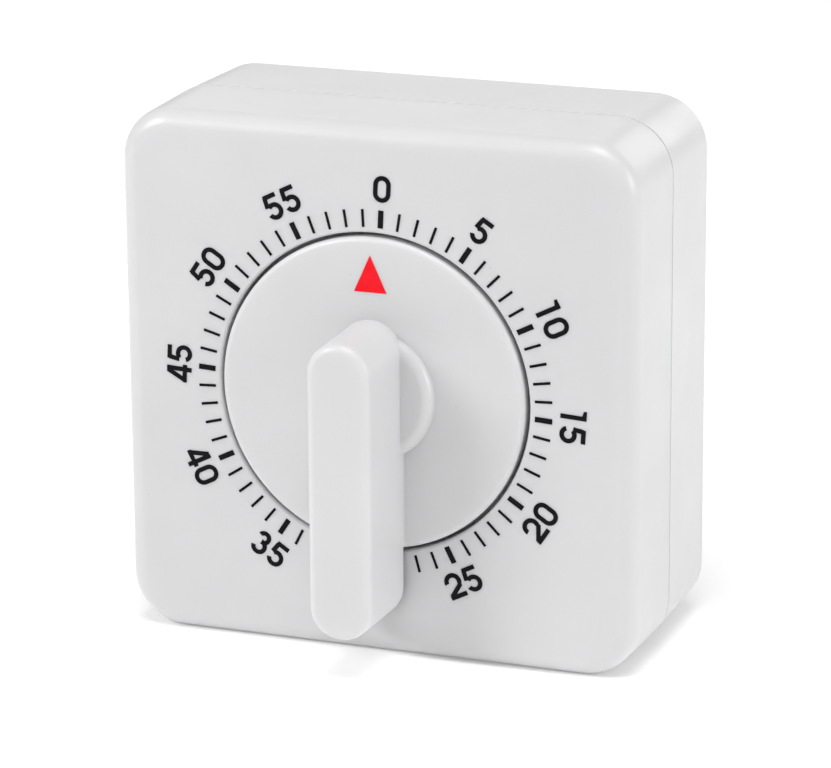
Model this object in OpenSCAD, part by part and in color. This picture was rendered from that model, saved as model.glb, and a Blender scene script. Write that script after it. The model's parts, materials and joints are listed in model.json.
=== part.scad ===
// Sixty minute mechanical countdown timer: a square two-part plastic case, a round dial
// with a long lever grip, and a spring-driven movement with a bell inside.
// Millimetres. The timer stands on the plane z = 0 and its dial faces -Y. +X is to the
// right of a person who looks at the dial, and the origin is under the middle of the case.

/* [Case] */
// Width of the case over its parting rim
case_w = 70; // [56:0.5:84]
// Height of the case from its flat base to the top of the parting rim
case_h = 70; // [56:0.5:84]
// Depth of the case from the front face to the rear face
case_d = 31; // [25.5:0.25:38]
// Depth of the front shell, from the front face to the parting line
front_d = 14.5; // [12:0.25:18]
// Thickness of the plastic walls
wall = 1.8; // [1.4:0.1:2.4]
// Radius of the upright corners at the parting line
corner_r = 7.3; // [6:0.1:9]
// Rounding of the edge round the front face
front_edge_r = 2.7; // [1:0.1:3.5]
// Rounding of the edge round the rear face
rear_edge_r = 1.3; // [0.6:0.1:3]
// Draft of each shell, as the inward lean of a side over the shell's depth
draft = 0.3; // [0.1:0.05:0.6]
// Height of the shadow gap between the two shells
seam_h = 0.25; // [0.1:0.05:0.5]

/* [Dial] */
// Radius of the turning dial disc on a case 70 mm across; it follows the size of the case
dial_r = 20.5; // [16:0.1:24]
// Gap between the dial disc and the opening it turns in
dial_gap = 0.5; // [0.3:0.05:1]
// Height of the hub above the dial disc
hub_h = 1.2; // [0.5:0.1:3]
// Radius of the hub at the dial disc
hub_r = 8.6; // [6:0.1:12]

/* [Lever grip] */
// Width of the lever at the dial
lever_w = 8.8; // [6:0.1:11]
// How far the lever stands out of the front face of the case
lever_h = 12.5; // [8:0.1:16]
// Reach of the lever from the dial axis to its long end
lever_down = 29.4; // [24:0.1:31]
// Reach of the lever from the dial axis to its short end
lever_up = 9.9; // [7:0.1:13]
// Rounding round the front of the lever
lever_edge_r = 1; // [0.4:0.1:2]

/* [Scale print] */
// Turn of the printed scale against the case, clockwise
scale_turn = 3.15; // [-5:0.05:5]
// Height of the numerals
numeral_h = 3.45; // [2.5:0.05:4.5]
// Stroke width of the numerals
numeral_w = 0.6; // [0.3:0.02:0.8]
// Thickness of the printed ink
ink = 0.05; // [0.02:0.01:0.2]

/* [Movement] */
// Teeth of the great wheel on the main arbor
great_teeth = 72; // [60:1:84]
// Teeth of the second wheel and of the third wheel
train_teeth = 48; // [40:1:56]
// Leaves of every pinion
leaves = 8; // [6:1:10]
// Running clearance round the pivots
pivot_gap = 0.05; // [0.02:0.01:0.1]

/* [Hidden] */
$fn = 48;
s = min(case_w, case_h) / 70;
u = case_d / 31;
dial_z = case_h / 2;
front_y = -case_d / 2;
rear_y = case_d / 2;
part_y = front_y + front_d;
half_w = case_w / 2;
half_h = (case_h + draft) / 2;
mid_z = (case_h - draft) / 2;
// The knob, its lever and its pointer follow the disc
disc_r = dial_r * s;
k = disc_r / 20.5;
open_r = disc_r + dial_gap;
// Print on the face: minute marks next to the opening, numerals between them and the edge
mark_r = open_r + 0.75 * s;
mark_end = mark_r + 2.3 * s;
face_edge = min(half_w, half_h) - draft - front_edge_r;
numeral_r = mark_end + max(numeral_h * s / 2 + 0.3, 0.346 * (face_edge - mark_end));
floor_y = front_y + 3.1 * u;
floor_in_y = front_y + 4.6 * u;
disc_y = front_y + 1.9 * u;
disc_t = 1.9 * u + 0.6;
boss_x = half_w - wall - 5.8;
boss_z = half_h - wall - 5.8;
// Places of the arbors across the movement, from the dial axis, at the nominal size
second_at = [12.73, 12.73];
third_at = [2.02, 17.6];
escape_at = [-8, 16.35];
pallet_at = [-13.6, 12.95];
balance_at = [-20, 3];
hammer_at = [4.93, 17.23];
trip_at = [-13.5, 8];
bell_at = [0, -9.5];
post_at = [-11.22, -19];
stud_at = balance_at + [5.52, 0.6];
pillar_at = [[22.3, 22.3], [-21, 21], [-21, -21], [22.3, -21]];
// Modules of the gear teeth
m_great = 36 / (great_teeth + leaves);
m_second = norm(third_at - second_at) * 2 / (train_teeth + leaves);
m_third = norm(escape_at - third_at) * 2 / (train_teeth + leaves);

white = [0.9, 0.9, 0.91];
steel = [0.7, 0.71, 0.73];
brass = [0.8, 0.66, 0.32];
acetal = [0.93, 0.9, 0.8];

function angle_to(a, b) = atan2(b[1] - a[1], b[0] - a[0]);

// ---- Shared shapes ----

// A rod along the depth, at place p from the dial axis
module rod(p, y0, y1, r) {
    translate([p[0] * s, y0 * u, dial_z + p[1] * s])
        rotate([-90, 0, 0]) cylinder(r = r * s, h = (y1 - y0) * u);
}

// A flat piece between two depths, drawn as it's seen from the front
module slab(y0, y1, p = [0, 0], turn = 0) {
    translate([p[0] * s, y1 * u, dial_z + p[1] * s]) rotate([90, 0, 0])
        linear_extrude((y1 - y0) * u) rotate(turn) scale(s) children();
}

// A straight arm with round ends between two places
module arm(a, b, w) {
    translate(a) circle(d = w);
    translate(b) circle(d = w);
    translate(a) rotate(angle_to(a, b)) translate([0, -w / 2]) square([norm(b - a), w]);
}

// Half a section: w0 wide at the bottom, w1 at height h, with a rounded top edge
module edge_profile(w0, w1, h, r) {
    a = atan2(w0 - w1, h);
    cx = w1 + (w0 - w1) * r / h - r / cos(a);
    polygon([[0, 0], [w0, 0], [cx + r * cos(a), h - r + r * sin(a)], [cx, h - r],
        [cx, h], [0, h]]);
    intersection() {
        translate([cx, h - r]) circle(r);
        translate([cx, h - r]) square(2 * r);
    }
}

// A box with upright round corners, leaning sides and a rounded top edge
module shell_block(hx, hy, rc, h, lean, r) {
    linear_extrude(h) square([2 * (hx - rc), 2 * (hy - rc)], center = true);
    for (i = [0:3]) rotate(90 * i) {
        a = (i % 2 == 0) ? hx : hy;
        b = (i % 2 == 0) ? hy : hx;
        translate([a - rc, b - rc, 0]) {
            rotate_extrude(angle = 90) edge_profile(rc, rc - lean, h, r);
            rotate([90, 0, 0]) linear_extrude(2 * (b - rc)) edge_profile(rc, rc - lean, h, r);
        }
    }
}

// A rectangle with round corners
module round_rect(hx, hy, rc) {
    square([2 * (hx - rc), 2 * hy], center = true);
    square([2 * hx, 2 * (hy - rc)], center = true);
    for (x = [-1, 1], y = [-1, 1]) translate([x * (hx - rc), y * (hy - rc)]) circle(rc);
}

// Everything under the base plane
module below_base() {
    translate([-case_w, -case_d, -20]) cube([2 * case_w, 2 * case_d, 20]);
}

// A toothed wheel as a flat drawing, with the first tooth along +X
module teeth(n, m, add, ded, wr, wp, wt) {
    rp = n * m / 2;
    step = 360 / n;
    polygon([for (i = [0:n - 1]) for (q = [[-ded, -wr], [0, -wp], [add, -wt], [add, wt],
        [0, wp], [-ded, wr]]) (rp + q[0] * m) *
        [cos(i * step + q[1] * step / 2), sin(i * step + q[1] * step / 2)]]);
}

module wheel_teeth(n, m) {
    teeth(n, m, 0.9, 1.2, 0.5, 0.42, 0.16);
}

module pinion_teeth(m) {
    teeth(leaves, m, 0.6, 1.1, 0.5, 0.38, 0.2);
}

// Windows that leave spokes between a hub and a rim
module windows(r0, r1, n, spoke) {
    difference() {
        circle(r1);
        circle(r0);
        for (i = [0:n - 1]) rotate(360 * i / n) translate([0, -spoke / 2]) square([r1 + 1, spoke]);
    }
}

// A flat spiral made of half rings, from radius r0, with n half turns
module spiral(r0, n, pitch, t) {
    for (i = [0:n - 1]) {
        r = r0 + i * pitch / 2;
        translate([(i % 2 == 0) ? 0 : pitch / 2, 0]) intersection() {
            difference() {
                circle(r + t);
                circle(r);
            }
            translate([-50, (i % 2 == 0) ? 0 : -50]) square([100, 50]);
        }
    }
}

// A cross recess for a screw head
module cross_cut(w, t, h) {
    translate([-w / 2, -t / 2, 0]) cube([w, t, h]);
    translate([-t / 2, -w / 2, 0]) cube([t, w, h]);
}

// ---- Case ----

module front_frame() {
    translate([0, part_y, mid_z]) rotate([90, 0, 0]) children();
}

module rear_frame() {
    translate([0, part_y, mid_z]) rotate([-90, 0, 0]) children();
}

module front_case() {
    color(white) difference() {
        union() {
            difference() {
                front_frame() shell_block(half_w, half_h, corner_r, front_d, draft, front_edge_r);
                front_frame() shell_block(half_w - wall, half_h - wall, corner_r - wall,
                    front_d - wall, draft, max(front_edge_r - wall, 0.4));
            }
            // Cup that the dial disc turns in, with its pads for the movement
            translate([0, floor_in_y, dial_z]) rotate([90, 0, 0])
                cylinder(r = open_r + 1.5, h = floor_in_y - front_y - 0.5);
            for (i = [0:2]) rotate_on_dial(120 * i) rod([0, 14.5], front_y / u + 4, -10.1, 3);
            for (x = [-1, 1], z = [-1, 1]) translate([x * boss_x, part_y, mid_z + z * boss_z])
                rotate([90, 0, 0]) cylinder(r = 3.4, h = front_d - 1);
        }
        // Opening for the dial disc
        translate([0, floor_y, dial_z]) rotate([90, 0, 0]) cylinder(r = open_r, h = 20);
        // Hole for the boss of the knob
        rod([0, 0], -20, -5, 5);
        for (i = [0:2]) rotate_on_dial(120 * i) {
            rod([0, 14.5], -20, -5, 1.3);
            translate([0, floor_y - 0.01, dial_z + 14.5 * s]) rotate([-90, 0, 0])
                cylinder(r1 = 2.5 * s, r2 = 1.3 * s, h = 1.2 * u);
        }
        for (x = [-1, 1], z = [-1, 1]) translate([x * boss_x, part_y + 1, mid_z + z * boss_z])
            rotate([90, 0, 0]) cylinder(r = 1.3, h = 9);
        // Rebate for the lip of the rear shell
        front_frame() translate([0, 0, -1]) linear_extrude(2.7) difference() {
            round_rect(half_w - wall * 0.5, half_h - wall * 0.5, corner_r - wall * 0.5);
            round_rect(half_w - wall - 0.5, half_h - wall - 0.5, corner_r - wall - 0.5);
        }
        below_base();
    }
    color(white) rotate_on_dial(180) translate([-0.4 * k, floor_y - 1, dial_z + 17.6 * k])
        cube([0.8 * k, 1.2, 1.8 * k]);
}

// Turns a piece clockwise about the dial axis, as seen from the front
module rotate_on_dial(a) {
    translate([0, 0, dial_z]) rotate([0, a, 0]) translate([0, 0, -dial_z]) children();
}

module rear_case() {
    color(white) difference() {
        union() {
            difference() {
                rear_frame() shell_block(half_w, half_h, corner_r, case_d - front_d, draft,
                    rear_edge_r);
                rear_frame() translate([0, 0, -0.01]) shell_block(half_w - wall, half_h - wall,
                    corner_r - wall, case_d - front_d - wall, draft, 0.5);
            }
            // Lip that centres the two shells
            front_frame() translate([0, 0, -3]) linear_extrude(4.5) difference() {
                round_rect(half_w - wall * 0.5 - 0.1, half_h - wall * 0.5 - 0.1,
                    corner_r - wall * 0.5 - 0.1);
                round_rect(half_w - wall, half_h - wall, corner_r - wall);
            }
            for (x = [-1, 1], z = [-1, 1]) translate([x * boss_x, part_y, mid_z + z * boss_z])
                rotate([-90, 0, 0]) cylinder(r = 3.9, h = case_d - front_d - 1);
        }
        for (x = [-1, 1], z = [-1, 1]) translate([x * boss_x, 0, mid_z + z * boss_z]) {
            translate([0, part_y - 1, 0]) rotate([-90, 0, 0]) cylinder(r = 1.5, h = case_d);
            translate([0, rear_y - 8, 0]) rotate([-90, 0, 0]) cylinder(r = 2.8, h = 10);
        }
        // Shadow gap along the parting line
        rear_frame() translate([0, 0, -0.01]) linear_extrude(seam_h) difference() {
            square(3 * case_w, center = true);
            round_rect(half_w - 0.5, half_h - 0.5, corner_r - 0.5);
        }
        below_base();
    }
}

module case_screws() {
    color(steel) for (x = [-1, 1], z = [-1, 1])
        translate([x * boss_x, rear_y - 8, mid_z + z * boss_z]) rotate([90, 0, 0]) {
            cylinder(r = 1.3, h = case_d - 8 - front_d + 6.5);
            difference() {
                translate([0, 0, -1.8]) cylinder(r = 2.5, h = 1.8);
                translate([0, 0, -1.81]) cross_cut(2.8, 0.6, 1.2);
            }
        }
}

// ---- Dial ----

// The lever's outline is a round-ended bar; every side leans in by lean over height h
module lever_bar(w, up, down, h, lean, r) {
    c = w / 2;
    translate([0, up - c, 0]) rotate_extrude(angle = 180) edge_profile(c, c - lean, h, r);
    translate([0, c - down, 0]) rotate(180) rotate_extrude(angle = 180)
        edge_profile(c, c - lean, h, r);
    for (i = [0:1]) translate([0, (i == 0) ? up - c : c - down, 0]) rotate(180 * i)
        rotate([90, 0, 0]) linear_extrude(up + down - w) edge_profile(c, c - lean, h, r);
}

module dial_knob() {
    top = disc_t + lever_h - 0.6;
    color(white) difference() {
        translate([0, disc_y, dial_z]) rotate([90, 0, 0]) difference() {
            union() {
                rotate_extrude() edge_profile(disc_r, disc_r, disc_t, 0.7);
                rotate_extrude() edge_profile(hub_r * k, hub_r * k, disc_t + hub_h, hub_h + 0.3);
                difference() {
                    translate([0, 0, 1]) lever_bar(lever_w * k, lever_up * k, lever_down * k,
                        top - 1, 0.25, lever_edge_r);
                    // Clearance under the part that reaches past the disc
                    linear_extrude(disc_t + 0.55) difference() {
                        square(3 * case_w, center = true);
                        circle(disc_r - 0.3);
                    }
                }
                // Boss that takes the arbor, and the stop lug
                translate([0, 0, -1.7 * u]) cylinder(r = 4.5 * s, h = 1.7 * u + 1);
                rotate(177) translate([-0.4 * k, 17.6 * k, -1]) cube([0.8 * k, 1.8 * k, 1.5]);
            }
            // Coring of the lever, open to the rear
            translate([-2.4 * k, -16.8 * k, -1]) cube([4.8 * k, 10.2 * k, top - 1]);
            translate([-2.4 * k, -26.4 * k, -1]) cube([4.8 * k, 4 * k, top - 1]);
        }
        // Flatted bore for the main arbor
        arbor_end(0.03, -11);
    }
}

// The flatted front end of the main arbor, with extra radius e
module arbor_end(e, y1) {
    intersection() {
        rod([0, 0], -19.6 - e, y1, 2.4 + e / s);
        slab(-25, y1 + 1) translate([-5, -5]) square([10, 6.7 + e]);
    }
}

module pointer_mark() {
    color([0.9, 0.1, 0.15]) translate([0, disc_y - disc_t, dial_z]) rotate([90, 0, 0])
        linear_extrude(ink) polygon([[-2.2 * k, 13.45 * k], [2.2 * k, 13.45 * k], [0, 18.25 * k]]);
}

// ---- Scale ----

module print_on_face() {
    translate([0, front_y, dial_z]) rotate([90, 0, 0]) rotate(-scale_turn)
        linear_extrude(ink) children();
}

module scale_ticks() {
    color([0.1, 0.1, 0.1]) print_on_face() for (i = [0:59]) rotate(-6 * i) {
        w = s * ((i % 5 == 0) ? 0.7 : 0.35);
        translate([-w / 2, mark_r]) square([w, mark_end - mark_r]);
    }
}

// Part of a ring, from angle a0 to angle a1
module arc(r, a0, a1) {
    intersection() {
        difference() {
            circle(r);
            circle(r - numeral_w);
        }
        polygon(concat([[0, 0]], [for (i = [0:6]) 3 * r *
            [cos(a0 + (a1 - a0) * i / 6), sin(a0 + (a1 - a0) * i / 6)]]));
    }
}

// A stroke from a to b, with square ends
module stroke(a, b) {
    translate(a) rotate(angle_to(a, b)) translate([0, -numeral_w / 2])
        square([norm(b - a), numeral_w]);
}

module digit(n) {
    h = numeral_h;
    w = numeral_h * 0.68;
    t = numeral_w;
    if (n == 0) difference() {
        arm([0, (w - h) / 2], [0, (h - w) / 2], w);
        arm([0, (w - h) / 2], [0, (h - w) / 2], w - 2 * t);
    }
    if (n == 1) {
        translate([0, -h / 2]) square([t, h]);
        polygon([[t, h / 2], [-0.65, h / 2], [-0.65, h / 2 - 0.4], [0, h / 2 - t], [t, h / 2 - t]]);
    }
    if (n == 2) {
        translate([0, (h - w) / 2]) arc(w / 2, -35, 185);
        stroke([-w / 2 + 0.2, -h / 2 + t * 0.8], [w * 0.37, (h - w) / 2 - w * 0.24]);
        translate([-w / 2, -h / 2]) square([w, t]);
    }
    if (n == 3) {
        translate([0, h / 2 - 0.97]) arc(0.97, -95, 165);
        translate([0, 1.1 - h / 2]) arc(1.1, -165, 95);
    }
    if (n == 4) {
        translate([0.25, -h / 2]) square([t, h]);
        translate([-w / 2, -h / 2 + 0.65]) square([w, t]);
        stroke([-w / 2 + 0.2, -h / 2 + 0.75], [0.3, h / 2 - 0.1]);
    }
    if (n == 5) {
        translate([-0.85, h / 2 - t]) square([1.8, t]);
        stroke([-0.62, h / 2 - t / 2], [-0.82, 0.05]);
        translate([-0.02, 1.14 - h / 2]) arc(1.14, -160, 135);
    }
}

module scale_numerals() {
    color([0.1, 0.1, 0.1]) print_on_face() for (i = [0:11]) rotate(-30 * i)
        translate([0, numeral_r]) rotate((i > 3 && i < 9) ? 180 : 0) scale(s) {
            v = 5 * i;
            if (v < 10) digit(v);
            if (v >= 10) {
                translate([-1.33, 0]) digit(floor(v / 10));
                translate([1.33, 0]) digit(v % 10);
            }
        }
}

// ---- Movement frame ----

// Outline of both movement plates
module plate_outline() {
    difference() {
        translate([0.6, 0.6]) round_rect(24.4, 24.4, 3.5);
        translate([24, -4]) circle(7);
        translate([1, -27]) circle(9);
    }
}

module pivot_holes(r) {
    for (p = [second_at, third_at, escape_at, pallet_at, balance_at])
        translate(p) circle(r / s);
}

module front_plate() {
    color(steel) difference() {
        slab(-10.1, -9.2) difference() {
            plate_outline();
            circle(2.4 + pivot_gap / s);
            pivot_holes(0.5 * s + pivot_gap);
            for (p = pillar_at) translate(p) circle(1);
            translate(post_at) circle(0.9);
        }
        for (i = [0:2]) rotate_on_dial(120 * i) rod([0, 14.5], -11, -9, 1.25);
    }
}

module back_plate() {
    color(steel) slab(1.8, 2.7) difference() {
        plate_outline();
        circle(2 + pivot_gap / s);
        pivot_holes(0.5 * s + pivot_gap);
        translate(second_at) circle(1.2 + pivot_gap / s);
        for (p = pillar_at) translate(p) circle(1.25);
        for (p = [bell_at, hammer_at, trip_at]) translate(p) circle(0.9);
        translate(stud_at) circle(0.6);
        translate(post_at) circle(0.9);
    }
}

module plate_pillars() {
    color(brass) for (p = pillar_at) difference() {
        union() {
            rod(p, -9.2, 1.8, 1.9);
            rod(p, -10.1, -9.2, 1);
        }
        rod(p, -2.2, 2, 1.25);
    }
}

module plate_screws() {
    color(steel) for (p = pillar_at) difference() {
        union() {
            rod(p, -1.8, 2.7, 1.25);
            rod(p, 2.7, 4.1, 2);
        }
        slab(3.5, 4.2, p) square([4.4, 0.6], center = true);
    }
}

module movement_screws() {
    color(steel) for (i = [0:2]) rotate_on_dial(120 * i) difference() {
        union() {
            rod([0, 14.5], -12.2, -9.3, 1.25);
            translate([0, floor_y + 0.05, dial_z + 14.5 * s]) rotate([-90, 0, 0])
                cylinder(r1 = 2.4 * s, r2 = 1.25 * s, h = 1.15 * u);
        }
        slab(-12.5, -11.9, [0, 14.5]) square([4.8, 0.5], center = true);
    }
}

// ---- Going train ----

module main_arbor() {
    color(steel) {
        arbor_end(0, -10.5);
        rod([0, 0], -10.5, -9.2, 2.4);
        rod([0, 0], -9.2, -9.0, 3.4);
        rod([0, 0], -9.0, 1.8, 2.2);
        rod([0, 0], 1.8, 5.2, 2);
    }
}

module great_wheel() {
    color(brass) slab(-8.6, -7.4, [0, 0], angle_to([0, 0], second_at)) difference() {
        wheel_teeth(great_teeth, m_great);
        windows(6, 13, 5, 2.6);
        circle(2.2);
    }
}

module clutch_washer() {
    color(steel) slab(-7.4, -7.1) difference() {
        circle(4.6);
        circle(2.2);
        for (i = [0:2]) rotate(120 * i) translate([3.6, -0.5]) square([2, 1]);
    }
}

module arbor_clip() {
    color(steel) slab(-7.1, -6.6) difference() {
        circle(3.7);
        circle(2.2);
        translate([0, -1.2]) square([5, 2.4]);
    }
}

module mainspring() {
    color(steel) slab(-6.3, -2.4) {
        spiral(2.6, 17, 0.84, 0.3);
        translate([-9.62, -19]) square([0.3, 19.01]);
        translate(post_at) difference() {
            circle(1.9);
            circle(1.6);
            square([1.5, 2]);
        }
    }
}

module spring_post() {
    color(brass) {
        rod(post_at, -9.2, 1.8, 1.5);
        rod(post_at, -10.1, 2.7, 0.9);
    }
}

// An arbor with a cut pinion between y0 and y1
module pinion_arbor(p, y0, y1, m, turn, r) {
    color(steel) {
        slab(y0, y1, p, turn) pinion_teeth(m);
        rod(p, -9, 1.6, r);
        rod(p, -10.1, 2.7, 0.5);
    }
}

module second_arbor() {
    pinion_arbor(second_at, -8.9, -7.1, m_great,
        angle_to(second_at, [0, 0]) + 180 / leaves, 1.1);
    color(steel) rod(second_at, 1.6, 4.7, 1.2);
}

module second_wheel() {
    color(acetal) slab(-1.9, -1.1, second_at, angle_to(second_at, third_at)) difference() {
        wheel_teeth(train_teeth, m_second);
        windows(3, 8, 4, 1.6);
        circle(1.1);
    }
}

module third_arbor() {
    pinion_arbor(third_at, -2.4, -0.6, m_second,
        angle_to(third_at, second_at) + 180 / leaves, 0.8);
}

module third_wheel() {
    color(acetal) slab(-0.1, 0.7, third_at, angle_to(third_at, escape_at)) difference() {
        wheel_teeth(train_teeth, m_third);
        windows(2.6, 6.7, 4, 1.4);
        circle(0.8);
    }
}

module escape_arbor() {
    pinion_arbor(escape_at, -0.6, 1.2, m_third,
        angle_to(escape_at, third_at) + 180 / leaves, 0.7);
}

// Twenty pointed teeth that lean towards their direction of travel
module escape_wheel() {
    color(acetal) slab(-5, -4.2, escape_at, angle_to(escape_at, pallet_at)) difference() {
        polygon([for (i = [0:19]) for (q = [[3.7, -6], [3.9, -1], [4.8, 2], [4.8, 4], [3.7, 5]])
            q[0] * [cos(18 * i + q[1] - 9), sin(18 * i + q[1] - 9)]]);
        windows(1.7, 2.9, 3, 0.9);
        circle(0.7);
    }
}

module pallet_arbor() {
    color(steel) {
        rod(pallet_at, -9, 1.6, 0.8);
        rod(pallet_at, -10.1, 2.7, 0.5);
    }
}

// Places of the two pallet pins, a little outside the tips of the escape wheel
function pin_at(side) = escape_at + 5.25 * [cos(angle_to(escape_at, pallet_at) + 27 * side),
    sin(angle_to(escape_at, pallet_at) + 27 * side)];

module pallet_lever() {
    a = angle_to(pallet_at, balance_at);
    reach = norm(balance_at - pallet_at);
    color(brass) {
        slab(-6.4, -5.6) difference() {
            union() {
                translate(pallet_at) circle(1.6);
                arm(pallet_at, pin_at(1), 1.1);
                arm(pallet_at, pin_at(-1), 1.1);
                translate(pallet_at) rotate(a) translate([0, -0.6]) square([reach - 2.4, 1.2]);
                translate(pallet_at) rotate(a) translate([reach - 3.8, -1.2]) square([2.8, 2.4]);
            }
            translate(pallet_at) circle(0.8);
            translate(pallet_at) rotate(a) translate([reach - 2.6, -0.55]) square([2, 1.1]);
        }
        for (i = [-1, 1]) rod(pin_at(i), -6, -3.8, 0.26);
    }
}

module balance_staff() {
    a = angle_to(balance_at, pallet_at);
    color(steel) {
        rod(balance_at, -9, 1.6, 0.8);
        rod(balance_at, -10.1, 2.7, 0.5);
        slab(-7.6, -7) translate(balance_at) circle(2.3);
        rod(balance_at + 1.8 * [cos(a), sin(a)], -7, -5.4, 0.35);
    }
}

module balance_wheel() {
    color(brass) slab(-4.4, -3.2, balance_at) difference() {
        circle(6.6);
        windows(1.8, 5.3, 3, 1.2);
        circle(0.8);
    }
}

module hairspring() {
    color(steel) slab(-1.4, -0.9, balance_at) {
        difference() {
            circle(1.4);
            circle(0.85);
        }
        translate([1.3, 0]) square([0.4, 0.12]);
        spiral(1.6, 8, 0.8, 0.12);
        translate([4.8, -0.01]) square([0.12, 1.2]);
    }
}

module hairspring_stud() {
    color(brass) rod(stud_at, -1.8, 2.7, 0.6);
}

// ---- Alarm ----

module alarm_cam() {
    color(brass) slab(3.4, 4.6) difference() {
        circle(6.5);
        circle(2);
        translate(7 * [cos(200), sin(200)]) circle(2.5);
    }
}

module trip_stud() {
    color(brass) {
        rod(trip_at, 1.8, 2.7, 0.9);
        rod(trip_at, 2.7, 3.2, 1.8);
        rod(trip_at, 3.2, 5.2, 1.1);
    }
}

module trip_lever() {
    foot = 7.45 * [cos(200), sin(200)];
    color(steel) slab(3.4, 4.6) difference() {
        union() {
            translate(trip_at) circle(2.2);
            arm(trip_at, [-11.5, 0], 1.6);
            arm([-11.5, 0], foot, 1.6);
            arm(trip_at, [-10.8, 11.6], 1.8);
        }
        translate(trip_at) circle(1.1 + pivot_gap / s);
    }
}

module strike_wheel() {
    color(brass) slab(3.6, 4.6, second_at) difference() {
        polygon([for (i = [0:11]) for (q = [[3.8, 0], [5, 4], [5, 8], [3.8, 24]])
            q[0] * [cos(30 * i + q[1]), sin(30 * i + q[1])]]);
        circle(1.2);
    }
}

module hammer_stud() {
    color(brass) {
        rod(hammer_at, 1.8, 2.7, 0.9);
        rod(hammer_at, 2.7, 3.2, 1.6);
        rod(hammer_at, 3.2, 8.2, 0.9);
    }
}

module hammer() {
    a = angle_to(hammer_at, second_at);
    color(steel) {
        slab(3.6, 4.8) difference() {
            union() {
                translate(hammer_at) circle(1.9);
                arm(hammer_at, [-6, 12.6], 1.6);
                translate(hammer_at) rotate(a) translate([0, -0.5]) square([3.6, 1]);
            }
            translate(hammer_at) circle(0.9 + pivot_gap / s);
        }
        rod([-6, 12.6], 3.6, 10, 2);
    }
}

// Close-wound return spring on the hammer stud, with its two legs
module hammer_spring() {
    color(steel) {
        translate([hammer_at[0] * s, 5.2 * u, dial_z + hammer_at[1] * s]) rotate([-90, 0, 0])
            rotate_extrude() for (i = [0:4])
                translate([1.35 * s, (0.25 + 0.4 * i) * u]) circle(0.25 * s);
        slab(6.6, 7, hammer_at, 8) translate([1.2, -0.2]) square([9, 0.4]);
        rod(hammer_at + 10 * [cos(8), sin(8)], 2.7, 7, 0.2);
        slab(5.2, 5.6, hammer_at, 203) translate([1.2, -0.2]) square([5, 0.4]);
    }
}

module bell() {
    color(steel) translate([0, 6 * u, dial_z + bell_at[1] * s]) rotate([-90, 0, 0]) difference() {
        rotate_extrude() edge_profile(20 * s, 19.4 * s, 6.4 * u, 4.2 * u);
        translate([0, 0, -0.01]) rotate_extrude()
            edge_profile(19 * s, 18.5 * s, 5.4 * u + 0.01, 3.4 * u);
        cylinder(r = 1.3 * s, h = 20);
    }
}

module bell_post() {
    color(brass) difference() {
        union() {
            rod(bell_at, 1.8, 2.7, 0.9);
            rod(bell_at, 2.7, 11.4, 2.2);
        }
        rod(bell_at, 7, 12, 1.2);
    }
}

module bell_screw() {
    color(steel) difference() {
        union() {
            rod(bell_at, 7.4, 12.4, 1.2);
            rod(bell_at, 12.4, 13.1, 2.6);
        }
        slab(12.8, 13.2, bell_at) square([5.6, 0.6], center = true);
    }
}

front_case();
rear_case();
case_screws();
dial_knob();
pointer_mark();
scale_ticks();
scale_numerals();
front_plate();
back_plate();
plate_pillars();
plate_screws();
movement_screws();
main_arbor();
great_wheel();
clutch_washer();
arbor_clip();
mainspring();
spring_post();
second_arbor();
second_wheel();
third_arbor();
third_wheel();
escape_arbor();
escape_wheel();
pallet_arbor();
pallet_lever();
balance_staff();
balance_wheel();
hairspring();
hairspring_stud();
alarm_cam();
trip_lever();
trip_stud();
strike_wheel();
hammer();
hammer_stud();
hammer_spring();
bell();
bell_post();
bell_screw();
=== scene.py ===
# %% [markdown]
# A sixty minute clockwork timer in white plastic, with a round dial, a long lever grip and a
# clockwork with a bell inside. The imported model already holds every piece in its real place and
# size. This notebook loads it, rounds the rims of the outer pieces, gives each piece its finish,
# and sets the light and the camera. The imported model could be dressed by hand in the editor, but
# a script does the same thing each time that it runs, and it can be read.

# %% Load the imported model
import json
from math import radians

import bmesh
import bpy
from mathutils import Euler, Matrix, Vector


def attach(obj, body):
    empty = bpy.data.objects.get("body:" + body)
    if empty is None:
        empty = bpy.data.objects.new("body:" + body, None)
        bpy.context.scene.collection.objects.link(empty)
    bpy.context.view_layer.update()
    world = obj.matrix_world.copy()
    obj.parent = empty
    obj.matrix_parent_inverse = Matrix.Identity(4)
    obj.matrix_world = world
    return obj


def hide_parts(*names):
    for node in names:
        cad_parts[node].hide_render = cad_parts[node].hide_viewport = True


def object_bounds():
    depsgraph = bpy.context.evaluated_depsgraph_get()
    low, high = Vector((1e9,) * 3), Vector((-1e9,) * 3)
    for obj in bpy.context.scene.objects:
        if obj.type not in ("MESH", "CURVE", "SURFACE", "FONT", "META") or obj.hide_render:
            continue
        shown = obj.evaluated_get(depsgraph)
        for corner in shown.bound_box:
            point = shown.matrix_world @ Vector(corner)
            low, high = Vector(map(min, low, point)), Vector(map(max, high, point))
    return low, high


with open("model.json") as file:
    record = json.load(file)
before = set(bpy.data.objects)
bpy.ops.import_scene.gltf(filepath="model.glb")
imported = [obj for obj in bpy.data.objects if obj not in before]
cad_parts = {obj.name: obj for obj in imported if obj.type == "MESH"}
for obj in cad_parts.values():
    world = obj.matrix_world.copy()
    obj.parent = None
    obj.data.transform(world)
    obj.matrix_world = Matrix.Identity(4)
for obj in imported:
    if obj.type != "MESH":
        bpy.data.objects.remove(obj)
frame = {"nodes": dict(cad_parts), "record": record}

cad_low, cad_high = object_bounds()
cad_nodes = frame["nodes"]
scene = bpy.context.scene
print("pieces:", len(cad_nodes))
print("box in mm:", [round(1000 * (b - a), 1) for a, b in zip(cad_low, cad_high)])

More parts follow.
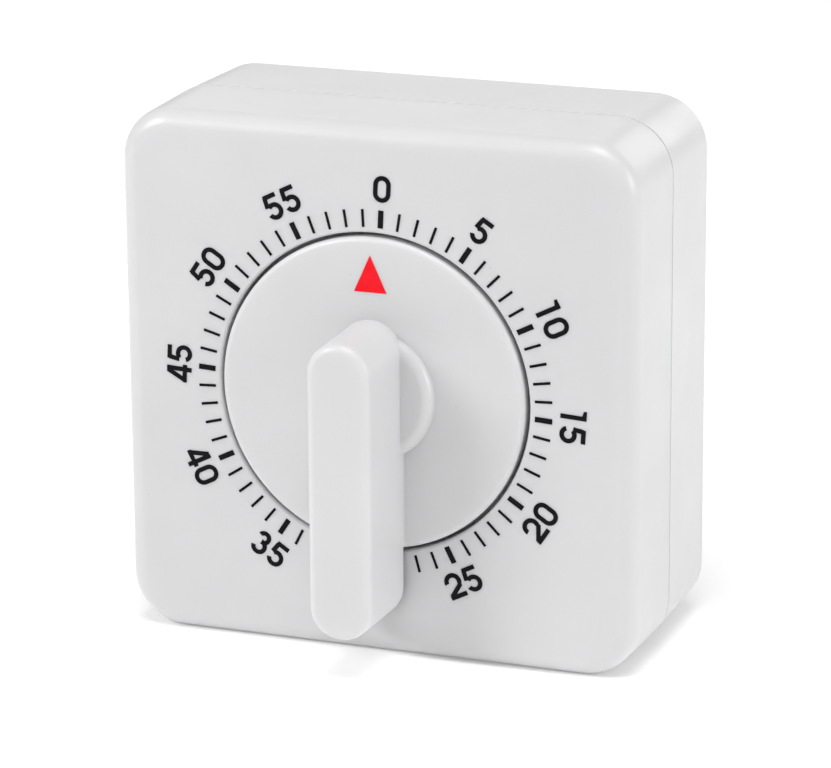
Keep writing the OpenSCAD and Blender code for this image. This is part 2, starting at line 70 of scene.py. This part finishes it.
# %% [markdown]
# The camera stands to the right of the timer and a little above it. From half a metre away a
# long lens keeps the sides almost parallel, as in a product picture. The aim could come from a
# Track To constraint, but fixed angles also hold the small roll of the picture.

# %% Camera
camera_data = bpy.data.cameras.new("camera")
camera_data.sensor_width = 36
camera_data.lens = 181.03
camera_data.clip_start = 0.01
camera_data.clip_end = 50
camera = bpy.data.objects.new("camera", camera_data)
camera.location = (0.18605, -0.48779, 0.18728)
camera.rotation_euler = Euler((radians(73.4265), radians(0.4184), radians(20.7686)))
scene.collection.objects.link(camera)
scene.camera = camera
print("camera stands at", tuple(camera.location))

# %% [markdown]
# White plastic only looks white when nearly everything round it is white too. So the timer stands
# on a wide sheet of pale paper, lit a little from behind as on a light table, under an even white
# sky, which stands for the walls of a light tent. A painted sky could light it as well, but an
# even one is set with a single number. The Standard view keeps white neutral.

# %% Paper and sky
SKY = 0.36
PAPER = (0.93, 0.93, 0.93, 1)
GLOW = 0.14
HALF_SHEET = 4
SHEET_DROP = 0.00005

scene.view_settings.view_transform = "Standard"
sky = bpy.data.worlds.new("sky")
sky.use_nodes = True
sky.node_tree.nodes["Background"].inputs["Color"].default_value = (1, 1, 1, 1)
sky.node_tree.nodes["Background"].inputs["Strength"].default_value = SKY
scene.world = sky

sheet = bmesh.new()
bmesh.ops.create_grid(sheet, x_segments=1, y_segments=1, size=HALF_SHEET)
paper_mesh = bpy.data.meshes.new("paper_floor")
sheet.to_mesh(paper_mesh)
sheet.free()
paper_mesh.transform(Matrix.Translation((0, 0, -SHEET_DROP)))
paper_floor = bpy.data.objects.new("paper_floor", paper_mesh)
scene.collection.objects.link(paper_floor)
paper = bpy.data.materials.new("pale_paper")
paper.use_nodes = True
paper_shader = paper.node_tree.nodes["Principled BSDF"]
paper_shader.inputs["Base Color"].default_value = PAPER
paper_shader.inputs["Roughness"].default_value = 0.9
paper_shader.inputs["Emission Color"].default_value = (1, 1, 1, 1)
paper_shader.inputs["Emission Strength"].default_value = GLOW
paper_mesh.materials.append(paper)
print("paper is", 2 * HALF_SHEET, "m wide")

# %% [markdown]
# Five soft lamps then shape the timer: a main one from the upper left, one from the right for the
# sides, one overhead for the paper, and two weak ones behind, which light the rear face and shine
# along the top and the rounded corner. Area lamps stand for soft boxes, because their size keeps
# the shadows and the shine soft, as a point lamp can't.


# %% Lamps
def soft_box(name, place, size, watts):
    """A square studio lamp at place that faces the middle of the timer."""
    data = bpy.data.lights.new(name, "AREA")
    data.size, data.energy = size, watts
    lamp = bpy.data.objects.new(name, data)
    lamp.location = place
    aim = (cad_low + cad_high) / 2 - Vector(place)
    lamp.rotation_euler = aim.to_track_quat("-Z", "Y").to_euler()
    scene.collection.objects.link(lamp)
    return lamp


soft_box("main_lamp", (-0.70, -0.62, 0.62), 0.40, 5.9)
soft_box("side_lamp", (0.98, -0.10, 0.30), 0.40, 3.7)
soft_box("top_lamp", (0.15, -0.28, 1.15), 0.60, 7.4)
soft_box("back_left_lamp", (-0.35, 1.00, 0.50), 0.50, 0.55)
soft_box("back_right_lamp", (0.32, 1.07, 0.45), 0.60, 1.8)

# %% [markdown]
# Every finish is a small network of nodes. The helpers below add a node, a noise pattern and a
# colour ramp to a material, so that each finish later reads as a short list of what the real
# surface has: its grain, its cloudiness, its wear and its bump. The white plastic also gets a
# painted highlight along its rims. Patterns read Object coordinates, which are metres here, so a
# scale of 1000 gives a pattern about a millimetre wide.


# %% Helpers for finishes
class Finish:
    """A node material that is put together step by step."""

    def __init__(self, name):
        self.material = bpy.data.materials.new(name)
        self.material.use_nodes = True
        self.tree = self.material.node_tree
        self.shader = self.tree.nodes["Principled BSDF"]
        self.place = self.add("ShaderNodeTexCoord").outputs["Object"]

    def add(self, kind, **settings):
        node = self.tree.nodes.new(kind)
        for key, value in settings.items():
            setattr(node, key, value)
        return node

    def link(self, output, target):
        self.tree.links.new(output, target)

    def fixed(self, **values):
        """Values that are the same all over, set on the shader's own sockets."""
        for key, value in values.items():
            self.shader.inputs[key.replace("_", " ")].default_value = value

    def stretched(self, scale, centre=(0, 0, 0)):
        """Object coordinates from a centre, scaled differently along each axis."""
        mapping = self.add("ShaderNodeMapping", vector_type="POINT")
        mapping.inputs["Scale"].default_value = scale
        mapping.inputs["Location"].default_value = [-c * s for c, s in zip(centre, scale)]
        self.link(self.place, mapping.inputs["Vector"])
        return mapping.outputs["Vector"]

    def noise(self, scale, detail=4, where=None):
        noise = self.add("ShaderNodeTexNoise")
        noise.inputs["Scale"].default_value = scale
        noise.inputs["Detail"].default_value = detail
        self.link(where or self.place, noise.inputs["Vector"])
        return noise.outputs["Fac"]

    def ramp(self, value, stops):
        """Turns a value into colours, given as (position, colour) stops."""
        ramp = self.add("ShaderNodeValToRGB")
        elements = ramp.color_ramp.elements
        while len(elements) < len(stops):
            elements.new(0.5)
        for element, (position, colour) in zip(elements, stops):
            element.position = position
            element.color = (*colour, 1)
        self.link(value, ramp.inputs["Fac"])
        return ramp.outputs["Color"]

    def spread(self, value, low, high, start=0.3, end=0.7):
        """Maps a value from start..end to low..high."""
        node = self.add("ShaderNodeMapRange")
        ends = {"From Min": start, "From Max": end, "To Min": low, "To Max": high}
        for key, number in ends.items():
            node.inputs[key].default_value = number
        self.link(value, node.inputs["Value"])
        return node.outputs["Result"]

    def mix(self, share, a, b, how="MIX"):
        node = self.add("ShaderNodeMix", data_type="RGBA", blend_type=how)
        self.link(share, node.inputs[0])
        for source, target in ((a, node.inputs[6]), (b, node.inputs[7])):
            if isinstance(source, tuple):
                target.default_value = (*source, 1)
            else:
                self.link(source, target)
        return node.outputs[2]

    def edges(self, radius, start, end):
        """A mask that is 1 along edges, where a softened normal leaves the true one.
        The metals and the acetal use it for wear, the white plastic for a painted highlight.
        """
        bevel = self.add("ShaderNodeBevel", samples=6)
        bevel.inputs["Radius"].default_value = radius
        dot = self.add("ShaderNodeVectorMath", operation="DOT_PRODUCT")
        self.link(bevel.outputs["Normal"], dot.inputs[0])
        self.link(self.add("ShaderNodeNewGeometry").outputs["Normal"], dot.inputs[1])
        return self.spread(dot.outputs["Value"], 1, 0, start, end)

    def bump(self, height, strength, depth):
        bump = self.add("ShaderNodeBump")
        bump.inputs["Strength"].default_value = strength
        bump.inputs["Distance"].default_value = depth
        self.link(height, bump.inputs["Height"])
        self.link(bump.outputs["Normal"], self.shader.inputs["Normal"])


print("helpers ready")

# %% [markdown]
# The case and the knob are moulded in white ABS. The real plastic has a soft gloss with a faint
# orange-peel ripple from the mould, clouds so weak that the eye hardly finds them and a few specks
# of dust. Its rims are painted a lighter grey, a painted highlight for the light that rounded rims
# catch. Light enters it a little way, which the subsurface value gives, and that keeps its narrow
# gaps from going black.


# %% White plastic
def white_plastic(name, dark, light):
    f = Finish(name)
    clouds = f.ramp(f.noise(60, 5), [(0.3, dark), (0.7, light)])
    specks = f.spread(f.noise(900, 1), 0, 1, 0.80, 0.83)
    dusty = f.mix(specks, clouds, (0.50, 0.49, 0.47))
    # painted highlight: the rims of the white plastic are coloured a lighter grey (0.66) than its
    # face
    rim = f.edges(0.0006, 0.86, 0.99)
    f.link(f.mix(rim, dusty, (0.66, 0.66, 0.66)), f.shader.inputs["Base Color"])
    gloss = f.spread(f.noise(140, 3), 0.30, 0.40)
    f.link(gloss, f.shader.inputs["Roughness"])
    f.bump(f.noise(1500, 2), 0.12, 0.00004)
    f.fixed(IOR=1.53, Subsurface_Weight=0.45, Subsurface_Radius=(0.0024, 0.0023, 0.0022),
            Subsurface_Scale=1.0)
    return f.material


case_white = white_plastic("case_white_plastic", (0.580, 0.580, 0.588), (0.600, 0.600, 0.607))
knob_white = white_plastic("knob_white_plastic", (0.590, 0.590, 0.598), (0.610, 0.610, 0.617))
print("made", case_white.name, "and", knob_white.name)


# %% [markdown]
# The scale is printed in black and the pointer in red. Pad-printed ink is a thin film: it is
# a little thinner in places, its surface is finely pitted, and it is less glossy than the
# plastic under it.


# %% Printed inks
def printed_ink(name, thin, thick, shine):
    f = Finish(name)
    f.link(f.ramp(f.noise(700, 3), [(0.35, thick), (0.75, thin)]), f.shader.inputs["Base Color"])
    f.link(f.spread(f.noise(1800, 2), shine, shine + 0.15), f.shader.inputs["Roughness"])
    f.bump(f.noise(4000, 2), 0.15, 0.00001)
    f.fixed(Specular_IOR_Level=0.08)
    return f.material


black_ink = printed_ink("black_scale_ink", (0.008, 0.008, 0.009), (0.003, 0.003, 0.004), 0.5)
red_ink = printed_ink("red_pointer_ink", (0.83, 0.013, 0.023), (0.78, 0.006, 0.014), 0.4)
print("made", black_ink.name, "and", red_ink.name)

# %% [markdown]
# The clockwork is metal. Pressed plates show the rolling grain of their strip, turned arbors and
# the bell show rings round their axis, springs are blued by heat, and brass has a warm tarnish
# that is rubbed bright along its edges. One function makes them all, because they differ only in
# colour, in the direction of the grain and in how rough they are.


# %% Metals
def metal(name, dull, bright, worn, rough, grain):
    """grain is the noise scale along X, Y and Z: small numbers draw the pattern out."""
    f = Finish(name)
    lines = f.noise(1, 6, f.stretched(grain))
    stains = f.noise(120, 4)
    base = f.ramp(stains, [(0.3, dull), (0.7, bright)])
    rubbed = f.mix(f.edges(0.0002, 0.8, 0.98), base, worn)
    f.link(rubbed, f.shader.inputs["Base Color"])
    f.link(f.spread(lines, rough, rough + 0.18), f.shader.inputs["Roughness"])
    f.bump(lines, 0.2, 0.00002)
    f.fixed(Metallic=1.0)
    return f.material


metals = {
    "plate_steel": metal("plate_steel_strip", (0.50, 0.51, 0.53), (0.62, 0.63, 0.65),
                         (0.80, 0.81, 0.82), 0.28, (200, 3000, 6000)),
    "arbor_steel": metal("arbor_turned_steel", (0.42, 0.43, 0.45), (0.56, 0.57, 0.59),
                         (0.75, 0.76, 0.77), 0.20, (300, 9000, 300)),
    "screw_steel": metal("screw_zinc_steel", (0.52, 0.54, 0.57), (0.66, 0.67, 0.68),
                         (0.82, 0.82, 0.82), 0.26, (1500, 1500, 1500)),
    "spring_steel": metal("spring_blued_steel", (0.05, 0.07, 0.16), (0.12, 0.15, 0.30),
                          (0.45, 0.46, 0.50), 0.18, (900, 5000, 900)),
    "bell_steel": metal("bell_nickel_plate", (0.62, 0.61, 0.58), (0.74, 0.73, 0.70),
                        (0.88, 0.87, 0.85), 0.08, (150, 9000, 150)),
    "movement_brass": metal("movement_brass_sheet", (0.46, 0.29, 0.09), (0.68, 0.47, 0.17),
                            (0.85, 0.65, 0.30), 0.22, (4000, 1500, 400)),
}
print("metals:", sorted(metals))

# %% [markdown]
# The second, third and escape wheels are moulded in natural acetal, a waxy cream plastic that
# lets some light in. It gets a weak mottle, a matt surface and paler tooth edges.

# %% Acetal
acetal = Finish("train_natural_acetal")
mottle = acetal.ramp(acetal.noise(250, 4), [(0.3, (0.66, 0.61, 0.47)), (0.7, (0.76, 0.72, 0.58))])
pale_edge = acetal.mix(acetal.edges(0.0002, 0.8, 0.98), mottle, (0.82, 0.80, 0.70))
acetal.link(pale_edge, acetal.shader.inputs["Base Color"])
acetal.link(acetal.spread(acetal.noise(600, 3), 0.42, 0.58), acetal.shader.inputs["Roughness"])
acetal.bump(acetal.noise(2500, 2), 0.15, 0.00002)
acetal.fixed(Subsurface_Weight=0.2, Subsurface_Radius=(0.0015, 0.0013, 0.0009),
             Subsurface_Scale=1.0)
print("made", acetal.material.name)

# %% [markdown]
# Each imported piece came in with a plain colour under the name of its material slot. The table
# gives every slot its new finish, and the loop puts it on, so the shapes stay exactly as packed.

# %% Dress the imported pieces
finishes = {
    "case_plastic": case_white,
    "knob_plastic": knob_white,
    "black_ink": black_ink,
    "red_ink": red_ink,
    "train_plastic": acetal.material,
    **metals,
}
for part in frame["record"]["subparts"]:
    cad_nodes[part["node"]].data.materials[0] = finishes[part["material_slot"]]

# %% [markdown]
# Moulded plastic has no razor edges: the rim of the dial's opening, the parting line and the
# screw holes all have a rounding of a tenth or two of a millimetre, which catches a thin light,
# and the rim of the dial's opening is rounded by 0.4 mm, so that the gap there doesn't look cut.
# Modelling the shells again would lose their bosses and lips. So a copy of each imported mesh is
# welded, its flat triangles are dissolved into whole faces, and a Bevel rounds what is sharp.

# %% Rounded outer pieces
WELD = 1e-6
NEAR = 1e-5
FLAT = radians(0.6)
SHARP = radians(32)
CASE_RIM = 0.00018
KNOB_RIM = 0.00015
OPENING_RIM = 0.0004


def dial_opening_rim(shape):
    """The edges of the front shell that run round the dial's opening, on the face."""
    face_y = min(v.co.y for v in shape.verts)
    middle_z = (cad_low.z + cad_high.z) / 2
    reach = [((v.co.x, v.co.z - middle_z), v) for v in shape.verts if v.co.y < face_y + NEAR]
    inner = min((x * x + z * z) ** 0.5 for (x, z), v in reach)
    rim = {v for (x, z), v in reach if (x * x + z * z) ** 0.5 < inner + NEAR}
    return [e for e in shape.edges if e.verts[0] in rim and e.verts[1] in rim]


def rounded_copy(node, name, body, width, segments, soft_rim=0):
    """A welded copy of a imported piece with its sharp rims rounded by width."""
    source = cad_nodes[node]
    shape = bmesh.new()
    shape.from_mesh(source.data)
    bmesh.ops.remove_doubles(shape, verts=shape.verts, dist=WELD)
    bmesh.ops.dissolve_limit(shape, angle_limit=FLAT, verts=shape.verts, edges=shape.edges,
                             use_dissolve_boundaries=False, delimit=set())
    if soft_rim:
        rim = dial_opening_rim(shape)
        bmesh.ops.bevel(shape, geom=rim, offset=soft_rim, segments=4, affect="EDGES",
                        profile=0.5, material=-1)
        print(name, "has", len(rim), "edges round the opening, rounded by", soft_rim)
    for face in shape.faces:
        face.smooth = True
    mesh = bpy.data.meshes.new(name)
    shape.to_mesh(mesh)
    shape.free()
    mesh.materials.append(source.data.materials[0])
    piece = bpy.data.objects.new(name, mesh)
    scene.collection.objects.link(piece)
    bevel = piece.modifiers.new("rim_rounding", "BEVEL")
    bevel.width, bevel.segments, bevel.profile = width, segments, 0.5
    bevel.limit_method, bevel.angle_limit = "ANGLE", SHARP
    bevel.use_clamp_overlap, bevel.harden_normals = True, False
    normals = piece.modifiers.new("even_normals", "WEIGHTED_NORMAL")
    normals.keep_sharp = True
    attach(piece, body)
    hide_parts(node)
    print(name, "has", len(mesh.polygons), "faces before its rounding")
    return piece


rounded_copy("front_case", "front_shell", "case", CASE_RIM, 2,
             soft_rim=OPENING_RIM)
rounded_copy("rear_case", "rear_shell", "case", CASE_RIM, 2)
rounded_copy("dial_knob", "turning_knob", "dial", KNOB_RIM, 2)
